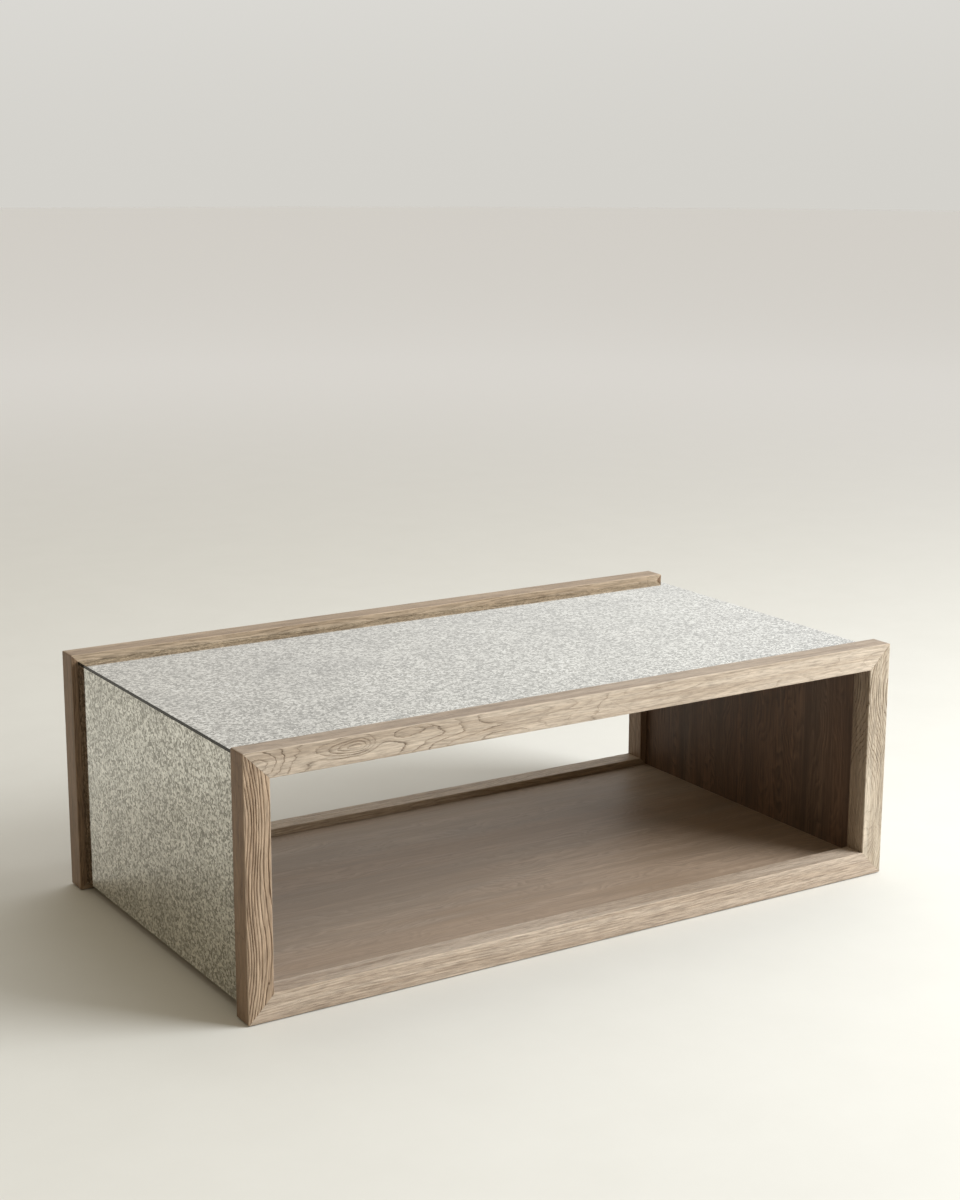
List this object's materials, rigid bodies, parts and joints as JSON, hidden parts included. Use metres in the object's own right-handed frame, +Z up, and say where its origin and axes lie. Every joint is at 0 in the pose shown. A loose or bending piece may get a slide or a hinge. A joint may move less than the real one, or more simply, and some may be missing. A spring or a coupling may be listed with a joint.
{
  "type": "mirrored oak coffee table",
  "caption": "Low rectangular coffee table with mitred oak frames front and back, antiqued mirror on its top and ends, and an open shelf between them.",
  "frame": {"origin": "on the floor under the middle of the table", "axes": "+X along the table's length, +Y from the front frame to the back frame, +Z up"},
  "size_m": [1.35, 0.762, 0.457],
  "materials": {
    "oak_frame": "wire-brushed, weathered grey-brown, open grain, matt",
    "oak_veneer": "weathered grey-brown veneer, matt",
    "antiqued_mirror": "polished glass over mottled, foxed silvering",
    "panel_core": "medium-density fibreboard, sanded",
    "beech": "plain turned or moulded beech",
    "cleat_pine": "planed softwood",
    "mirror_mastic": "cured mirror adhesive",
    "zinc_steel": "zinc plated",
    "nylon": "moulded nylon"
  },
  "bodies": {
    "root": {"front_top_rail": "oak_frame", "front_bottom_rail": "oak_frame", "front_left_stile": "oak_frame", "front_right_stile": "oak_frame", "back_top_rail": "oak_frame", "back_bottom_rail": "oak_frame", "back_left_stile": "oak_frame", "back_right_stile": "oak_frame", "ceiling_lining": "oak_veneer", "shelf_lining": "oak_veneer", "left_end_lining": "oak_veneer", "right_end_lining": "oak_veneer", "top_mirror": "antiqued_mirror", "left_end_mirror": "antiqued_mirror", "right_end_mirror": "antiqued_mirror", "top_core": "panel_core", "left_end_core": "panel_core", "right_end_core": "panel_core", "shelf_core": "panel_core", "mitre_tenons": "beech", "panel_dowels": "beech", "carcass_dowels": "beech", "front_shelf_cleat": "cleat_pine", "back_shelf_cleat": "cleat_pine", "top_mirror_mastic": "mirror_mastic", "left_mirror_mastic": "mirror_mastic", "right_mirror_mastic": "mirror_mastic", "cleat_screws": "zinc_steel", "glide_nails": "zinc_steel", "floor_glides": "nylon"}
  },
  "joints": []
}
